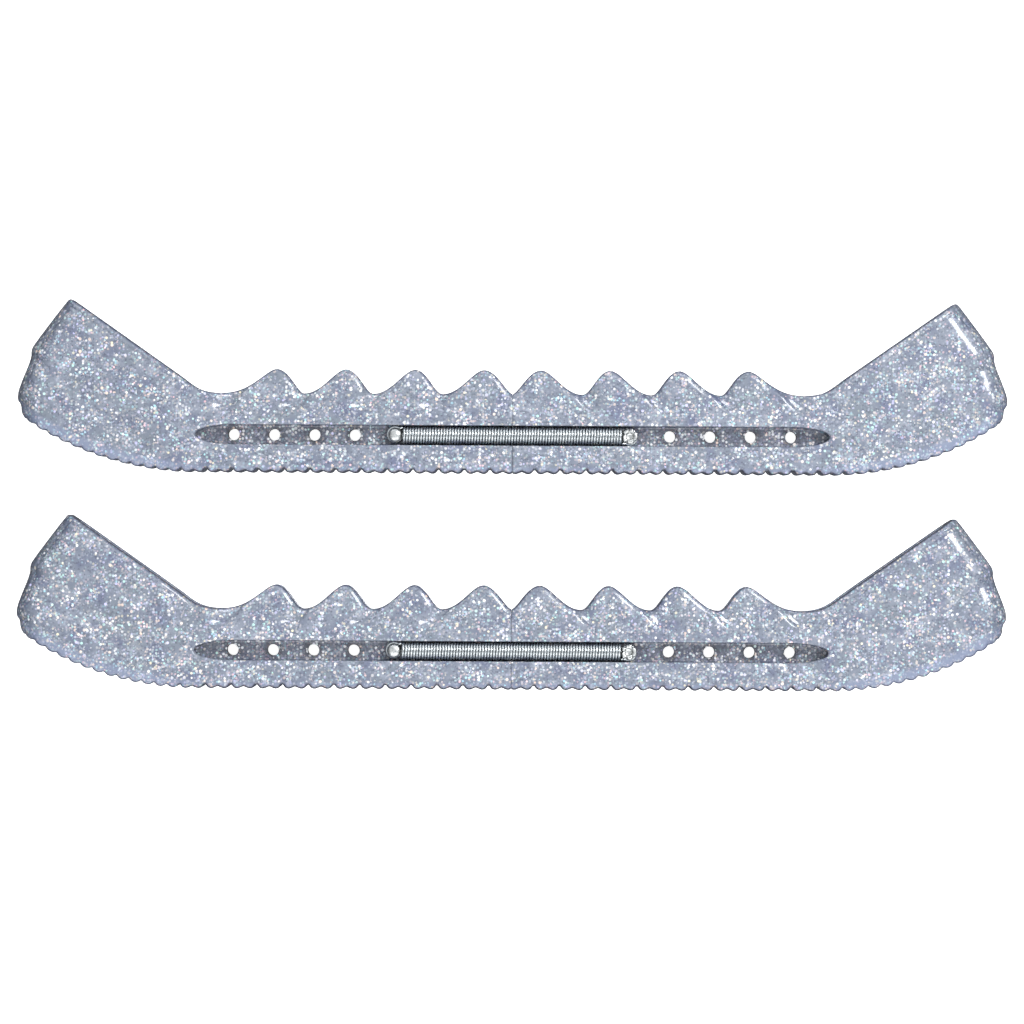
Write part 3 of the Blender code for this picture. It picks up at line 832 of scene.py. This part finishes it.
def springPath():
    # the closed coil from heel to toe, then the wire drawn out into a round hook in the spring's own plane
    s = springWire
    radius = (s["outside"] - s["wire"]) / 2
    steps = int(s["turns"] * s["stepsPerTurn"])
    coil = []
    for i in range(steps + 1):
        t = i / steps
        angle = math.pi / 2 + 2 * math.pi * s["turns"] * t
        x = -s["coilEnd"] + s["wire"] / 2 + (2 * s["coilEnd"] - s["wire"]) * t
        coil.append(Vector((x, radius * math.sin(angle), radius * math.cos(angle))))
    centre = moulding["rivetX"]
    start = math.radians(s["loopStart"])
    loop = s["loopRadius"]
    hook = []
    for i in range(s["loopSteps"] + 1):
        angle = start + math.radians(s["loopSweep"]) * i / s["loopSteps"]
        hook.append(Vector((centre + loop * math.cos(angle), loop * math.sin(angle) - s["loopDrop"], 0.0)))
    leave = coil[-1] + (coil[-1] - coil[-2]).normalized() * s["bendPull"][0]
    arrive = hook[0] - Vector((-math.sin(start), math.cos(start), 0.0)) * s["bendPull"][1]
    bend = interpolate_bezier(coil[-1], leave, arrive, hook[0], s["bendSteps"])
    toeEnd = [Vector(p) for p in bend[1:-1]] + hook
    heelEnd = [Vector((-p.x, -p.y, p.z)) for p in reversed(toeEnd)]
    return heelEnd + coil + toeEnd


def roundWire(name, radius, sides, material):
    # turns a line of points into wire, after the line has been moved or stretched
    group = bpy.data.node_groups.new(name, "GeometryNodeTree")
    group.interface.new_socket("Geometry", in_out="INPUT", socket_type="NodeSocketGeometry")
    group.interface.new_socket("Geometry", in_out="OUTPUT", socket_type="NodeSocketGeometry")
    into = group.nodes.new("NodeGroupInput")
    curve = group.nodes.new("GeometryNodeMeshToCurve")
    circle = group.nodes.new("GeometryNodeCurvePrimitiveCircle")
    setInputs(circle, resolution=sides, radius=radius)
    tube = group.nodes.new("GeometryNodeCurveToMesh")
    setInputs(tube, fillCaps=True)
    smooth = group.nodes.new("GeometryNodeSetShadeSmooth")
    paint = group.nodes.new("GeometryNodeSetMaterial")
    setInputs(paint, material=material)
    out = group.nodes.new("NodeGroupOutput")
    for start, end in (
        (into.outputs[0], curve.inputs["Mesh"]),
        (curve.outputs["Curve"], tube.inputs["Curve"]),
        (circle.outputs["Curve"], tube.inputs["Profile Curve"]),
        (tube.outputs["Mesh"], smooth.inputs["Geometry"]),
        (smooth.outputs["Geometry"], paint.inputs["Geometry"]),
        (paint.outputs["Geometry"], out.inputs[0]),
    ):
        group.links.new(start, end)
    return group


def placeSpring(guard, side, material, wireNodes):
    s = springWire
    out = 1 if side == "outer" else -1
    turn = 0.0 if side == "outer" else math.pi
    centre = guardBase(guard) + Vector((0.0, moulding["channelCentre"] * mm, s["offset"] * mm * out))
    place = Matrix.Translation(centre) @ Matrix.Rotation(turn, 4, "Y")
    points = [place @ (p * mm) for p in springPath()]
    mesh = bpy.data.meshes.new(f"{guard}_{side}_coil")
    mesh.from_pydata([tuple(p) for p in points], [(i, i + 1) for i in range(len(points) - 1)], [])
    mesh.materials.append(material)
    obj = newObject(mesh.name, mesh)
    body = obj.modifiers.new("wire", "NODES")
    body.node_group = wireNodes
    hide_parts(f"{guard}_{side}_spring")
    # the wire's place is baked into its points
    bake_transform(obj)


rivetShape = dict(
    shank=1.6, head=2.2, headRise=1.35, crownRings=10, crownStep=0.14, headEdge=(0.05, 0.08), neck=0.05,
    shankEnds=(0.1, 0.15), tailNeck=0.1, tail=2.5, seat=6.375, tailThickness=0.8, bore=1.0, boreDepth=2.2,
    # rings of the flared tail: in from its rim, distance from its upper or lower side, share of the cracks
    tailTop=((0.35, 0.0, 0.1), (0.06, 0.12, 0.6), (0.0, 0.32, 1.0)),
    tailBottom=((0.15, 0.16, 1.0), (0.5, 0.0, 0.8), (0.85, 0.05, 0.5)),
    # rings of the bore: out from its wall, height over the tail's lower side, share of the cracks
    mouth=((0.22, 0.25, 0.2), (0.0, 0.6, 0.0)), boreTaper=0.05,
    boreEnd=(0.5, 0.15, 0.2),       # its last ring's share of the radius and rise, and the rise at the middle
    petals=5, crack=0.30, crackDeep=0.6, crackWidth=0.15,
    crackShift=(-0.22, 0.22), crackDepths=(0.55, 1.0), petalCurl=(-0.12, 0.16),
    around=84, sharpDegrees=40.0, seed=40,
)


def rivetPoints():
    # rings of (radius, height, how much the cracks open there), from the head's crown to the tail's bore
    r = rivetShape
    seat, head, shank, tail, bore = r["seat"], r["head"], r["shank"], r["tail"], r["bore"]
    rings = []
    for i in range(1, r["crownRings"] + 1):
        angle = math.pi / 2 * i / r["crownRings"]
        rise = r["crownStep"] + (1.0 - r["crownStep"]) * math.cos(angle)
        rings.append((head * math.sin(angle), seat + r["headRise"] * rise, 0.0))
    rings.append((head, seat + r["headEdge"][0], 0.0))
    rings.append((head - r["headEdge"][1], seat, 0.0))
    rings.append((shank + r["neck"], seat, 0.0))
    rings.append((shank, seat - r["shankEnds"][0], 0.0))
    rings.append((shank, -seat + r["shankEnds"][1], 0.0))
    rings.append((shank + r["tailNeck"], -seat, 0.0))
    bottom = -seat - r["tailThickness"]
    rings += [(tail - inwards, -seat - drop, opening) for inwards, drop, opening in r["tailTop"]]
    rings += [(tail - inwards, bottom + lift, opening) for inwards, lift, opening in r["tailBottom"]]
    rings += [(bore + out, bottom + lift, opening) for out, lift, opening in r["mouth"]]
    end = bottom + r["boreDepth"]
    rings.append((bore - r["boreTaper"], end, 0.0))
    rings.append((bore * r["boreEnd"][0], end + r["boreEnd"][1], 0.0))
    return rings


def placeRivet(guard, half, material, seed):
    r = rivetShape
    rng = np.random.default_rng(seed)
    petals, around = r["petals"], r["around"]
    cracks = (np.arange(petals) + rng.uniform(*r["crackShift"], petals)) * 2 * math.pi / petals
    depths = rng.uniform(*r["crackDepths"], petals)
    curl = rng.uniform(*r["petalCurl"], petals)
    rings = rivetPoints()
    points = [(0.0, 0.0, r["seat"] + r["headRise"])]
    for radius, height, opening in rings:
        for i in range(around):
            angle = 2 * math.pi * i / around
            gap = np.abs((angle - cracks + math.pi) % (2 * math.pi) - math.pi)
            cut = float(np.max(depths * np.exp(-(gap / r["crackWidth"]) ** 2))) * opening
            lean = float(curl[int(np.argmin(gap))]) * opening
            out = radius * (1.0 - r["crack"] * cut)
            lift = height + r["crackDeep"] * cut + lean
            points.append((out * math.cos(angle), out * math.sin(angle), lift))
    points.append((0.0, 0.0, -r["seat"] - r["tailThickness"] + r["boreDepth"] + r["boreEnd"][2]))

    # a fan at each end and a band of squares between one ring and the next
    last = 1 + (len(rings) - 1) * around
    faces = [(0, 1 + i, 1 + (i + 1) % around) for i in range(around)]
    for a in range(1, last, around):
        b = a + around
        for i in range(around):
            j = (i + 1) % around
            faces.append((a + i, b + i, b + j, a + j))
    faces += [(last + i, len(points) - 1, last + (i + 1) % around) for i in range(around)]

    side = -1 if half == "heel" else 1
    turn = 0.0 if half == "heel" else math.pi       # the heel rivet shows its head, the toe rivet its tail
    seat = Vector((side * moulding["rivetX"] * mm, moulding["channelCentre"] * mm, 0.0))
    place = Matrix.Translation(guardBase(guard) + seat) @ Matrix.Rotation(turn, 4, "Y")
    obj = newMesh(f"{guard}_{half}_rivet_body", [place @ (Vector(p) * mm) for p in points], faces, material)
    obj.data.set_sharp_from_angle(angle=math.radians(r["sharpDegrees"]))
    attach(obj, f"{guard}_{half}")
    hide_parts(f"{guard}_{half}_rivet")


# Lengths are in metres here.
studio = dict(
    floorSize=3.0, floorDrop=0.0002, floorColor=(0.93, 0.93, 0.935), floorShade=0.985, floorGrain=40.0,
    floorGlow=1.0, floorRoughness=0.9, floorShine=0.1,
    cameraHeight=1.55, imageWidth=0.3226, aimBelow=0.0052, cameraRoll=0.0055, sensor=36.0,
    # the room: pale straight above, dim at the horizon
    skyColor=(0.93, 0.96, 1.0), skyBright=0.85, skyDim=0.08, skyFrom=0.40, skyTo=0.92, skyLength=0.40,
    # place, size, watts and colour of each light, and what they all point at
    lights=dict(
        key=((0.56, 0.47, 0.84), (0.42, 0.42), 7.8, (1.0, 1.0, 1.0)),
        strip=((0.05, -0.62, 0.86), (1.3, 0.5), 3.8, (1.0, 1.0, 1.0)),
        low=((0.1, -1.35, 0.36), (1.2, 0.5), 3.0, (0.95, 0.97, 1.0)),
        back=((-0.4, 1.35, 0.40), (1.2, 0.5), 5.0, (0.95, 0.97, 1.0)),
    ),
    target=(0.0, 0.0, 0.01),
)


def makeFloor():
    side, depth = studio["floorSize"] / 2, -studio["floorDrop"]
    corners = [(-side, -side, depth), (side, -side, depth), (side, side, depth), (-side, side, depth)]
    material, shader = newMaterial("floor_paper")
    noise = addNode(material, "ShaderNodeTexNoise")
    setInputs(noise, scale=studio["floorGrain"])
    pale = studio["floorColor"]
    shade = tuple(c * studio["floorShade"] for c in pale)
    paper = ramp(material, noise.outputs["Fac"], ((0.0, shade), (1.0, pale)))
    join(material, paper, shader.inputs["Base Color"])
    shader.inputs["Specular IOR Level"].default_value = studio["floorShine"]
    setInputs(shader, roughness=studio["floorRoughness"])
    setInputs(shader, emissionColor=(1.0, 1.0, 1.0, 1.0), emissionStrength=studio["floorGlow"])
    floor = newMesh("floor", corners, [(0, 1, 2, 3)], material)
    floor.visible_diffuse = False       # the backlit paper doesn't light the edges of the guards
    floor.visible_glossy = False


def areaLight(name, place, size, watts, color):
    data = bpy.data.lights.new(name, "AREA")
    data.shape = "RECTANGLE"
    data.size, data.size_y = size
    data.energy = watts
    data.color = color
    obj = newObject(name, data)
    obj.location = place
    obj.rotation_mode = "QUATERNION"
    obj.rotation_quaternion = (Vector(place) - Vector(studio["target"])).to_track_quat("Z", "Y")


def makeRoom():
    world = bpy.data.worlds.new("soft_room")
    world.use_nodes = True
    coords = addNode(world, "ShaderNodeTexCoord")
    split = addNode(world, "ShaderNodeSeparateXYZ")
    join(world, coords.outputs["Generated"], split.inputs["Vector"])
    # the pale part is longer across the guards than along them
    side = mathNode(world, "ABSOLUTE", split.outputs["Y"])
    height = mathNode(world, "MULTIPLY_ADD", side, studio["skyLength"], split.outputs["Z"])
    glow = addNode(world, "ShaderNodeMapRange", interpolation_type="SMOOTHSTEP")
    setInputs(glow, fromMin=studio["skyFrom"], fromMax=studio["skyTo"])
    setInputs(glow, toMin=studio["skyDim"], toMax=studio["skyBright"])
    join(world, height, glow.inputs["Value"])
    sky = world.node_tree.nodes["Background"]
    setInputs(sky, color=(*studio["skyColor"], 1.0))
    join(world, glow.outputs["Result"], sky.inputs["Strength"])
    bpy.context.scene.world = world


def makeCamera():
    low, high = cadBox
    centre = (Vector(low) + Vector(high)) / 2
    data = bpy.data.cameras.new("camera")
    data.sensor_width = studio["sensor"]
    data.lens = studio["sensor"] * (studio["cameraHeight"] - centre.z) / studio["imageWidth"]
    camera = newObject("camera", data)
    camera.location = (centre.x, centre.y - studio["aimBelow"], studio["cameraHeight"])
    camera.rotation_euler = (0.0, 0.0, studio["cameraRoll"])
    bpy.context.scene.camera = camera


bpy.context.scene.view_settings.view_transform = "Standard"
plastic = glitterPlastic()
wireSteel = brightMetal("spring_wire_steel", springFinish)
rivetSteel = brightMetal("plated_rivet_steel", rivetFinish)
print("materials ready")

source = makeMoulding()
print("moulding made:", len(source.vertices), "points")
for guard in guardNames:
    for half in halfNames:
        placeHalf(source, guard, half, plastic)
bpy.data.meshes.remove(source)
print("four halves placed")

wireNodes = roundWire("round_wire", springWire["wire"] / 2 * mm, springWire["sides"], wireSteel)
for guard in guardNames:
    for side in ("outer", "inner"):
        placeSpring(guard, side, wireSteel, wireNodes)
print("springs wound")

for number, (guard, half) in enumerate((g, h) for g in guardNames for h in halfNames):
    placeRivet(guard, half, rivetSteel, rivetShape["seed"] + number)
print("rivets set")

makeFloor()
for name, settings in studio["lights"].items():
    areaLight(name, *settings)
makeRoom()
makeCamera()
print("studio and camera ready")
